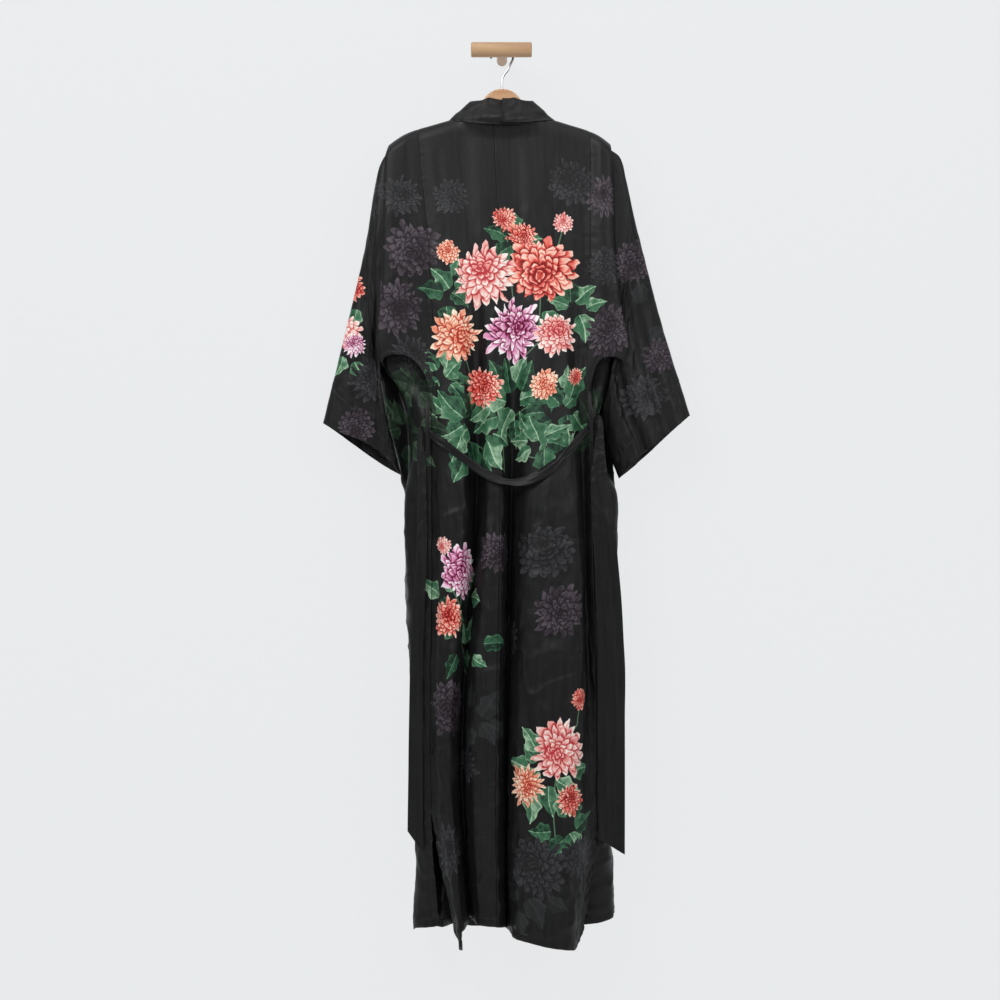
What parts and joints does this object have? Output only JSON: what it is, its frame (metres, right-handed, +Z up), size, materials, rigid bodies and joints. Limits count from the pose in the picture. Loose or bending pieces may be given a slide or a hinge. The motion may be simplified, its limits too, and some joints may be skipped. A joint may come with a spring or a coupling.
{
  "type": "kimono robe on a hanger and wall peg",
  "caption": "Long kimono robe with wide sleeves, side slits and a tie belt, on a wooden hanger hung from a T-shaped wall peg.",
  "frame": {"origin": "centre of the peg stem's end face, where it meets the wall", "axes": "+Z up, +Y into the wall, +X to the right of someone who faces the wall and sees the robe's back"},
  "size_m": [0.6266, 0.1658, 1.5302],
  "materials": {
    "silk": "black satin silk printed with flowers and leaves",
    "belt_silk": "plain black satin silk",
    "hanger_wood": "clear satin varnish",
    "peg_wood": "pale, matt",
    "hook_wire": "bright"
  },
  "bodies": {
    "root": {"back_left": "silk", "back_right": "silk", "side_back_left": "silk", "side_back_right": "silk", "front_left": "silk", "front_right": "silk", "sleeve_left": "silk", "sleeve_right": "silk", "cuff_left": "silk", "cuff_right": "silk", "neckband_left": "silk", "neckband_right": "silk", "belt_loop_left": "belt_silk", "belt_loop_right": "belt_silk", "belt_back": "belt_silk", "belt_tail_left": "belt_silk", "belt_tail_right": "belt_silk", "hanger": "hanger_wood", "hook": "hook_wire", "peg_crossbar": "peg_wood", "peg_stem": "peg_wood"}
  },
  "joints": []
}
